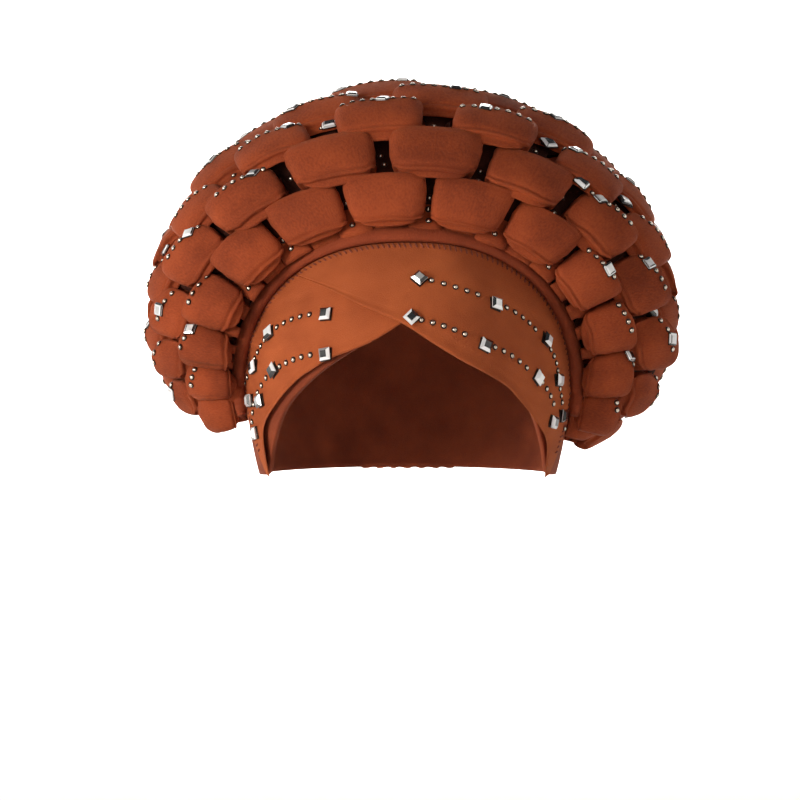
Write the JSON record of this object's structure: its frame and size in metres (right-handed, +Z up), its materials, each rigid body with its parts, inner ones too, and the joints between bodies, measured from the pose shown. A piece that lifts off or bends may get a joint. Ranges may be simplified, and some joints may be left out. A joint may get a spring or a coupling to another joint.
{
  "type": "tied gele head tie",
  "caption": "Rust-coloured head tie: a fitted cap with crossed forehead panels under a crown of puffed padded bands woven basket-fashion, set with crystals.",
  "frame": {"origin": "the middle of the head opening at eye level, the mount head_seat", "axes": "+Z up, the face side towards -Y, the wearer's left towards +X; the crown's width runs along X"},
  "size_m": [0.2733, 0.2423, 0.1977],
  "materials": {
    "cap_cloth": "matt knitted cloth, dark rust, seen from inside and at the lower edge",
    "panel_cloth": "matt scuba-like knit in rust, fine cross grain",
    "binding_cloth": "the same knit, finely ruched over a roll, overlocked along its edge",
    "hoop_cloth": "the same knit, padded, with a stitched seam groove near each edge",
    "cross_cloth": "the same knit, deeper in shade, pulled taut",
    "back_cloth": "the same knit, gathered in radial pleats",
    "crystal": "square cut, polished, silver foil back"
  },
  "bodies": {
    "root": {"crown_cap": "cap_cloth", "forehead_panel_left": "panel_cloth", "forehead_panel_right": "panel_cloth", "brow_binding": "binding_cloth", "back_panel": "back_cloth", "back_knot": "back_cloth", "hoop_band_01": "hoop_cloth", "hoop_band_02": "hoop_cloth", "hoop_band_03": "hoop_cloth", "hoop_band_04": "hoop_cloth", "hoop_band_05": "hoop_cloth", "hoop_band_06": "hoop_cloth", "hoop_band_07": "hoop_cloth", "hoop_band_08": "hoop_cloth", "hoop_band_09": "hoop_cloth", "cross_band_01": "cross_cloth", "cross_band_02": "cross_cloth", "cross_band_03": "cross_cloth", "cross_band_04": "cross_cloth", "cross_band_05": "cross_cloth", "cross_band_06": "cross_cloth", "cross_band_07": "cross_cloth", "cross_band_08": "cross_cloth", "cross_band_09": "cross_cloth", "cross_band_10": "cross_cloth", "cross_band_11": "cross_cloth", "cross_band_12": "cross_cloth", "cross_band_13": "cross_cloth", "cross_band_14": "cross_cloth", "cross_band_15": "cross_cloth", "cross_band_16": "cross_cloth", "cross_band_17": "cross_cloth", "cross_band_18": "cross_cloth", "cross_band_19": "cross_cloth", "cross_band_20": "cross_cloth", "cross_band_21": "cross_cloth", "cross_band_22": "cross_cloth", "cross_band_23": "cross_cloth", "cross_band_24": "cross_cloth", "brow_stone_01": "crystal", "brow_stone_02": "crystal", "brow_stone_03": "crystal", "brow_stone_04": "crystal", "brow_stone_05": "crystal", "brow_stone_06": "crystal", "brow_stone_07": "crystal", "brow_stone_08": "crystal", "brow_stone_09": "crystal", "brow_stone_10": "crystal", "brow_stone_11": "crystal", "brow_stone_12": "crystal", "brow_stone_13": "crystal", "brow_stone_14": "crystal", "brow_stone_15": "crystal", "brow_stone_16": "crystal", "brow_stone_17": "crystal"}
  },
  "joints": []
}
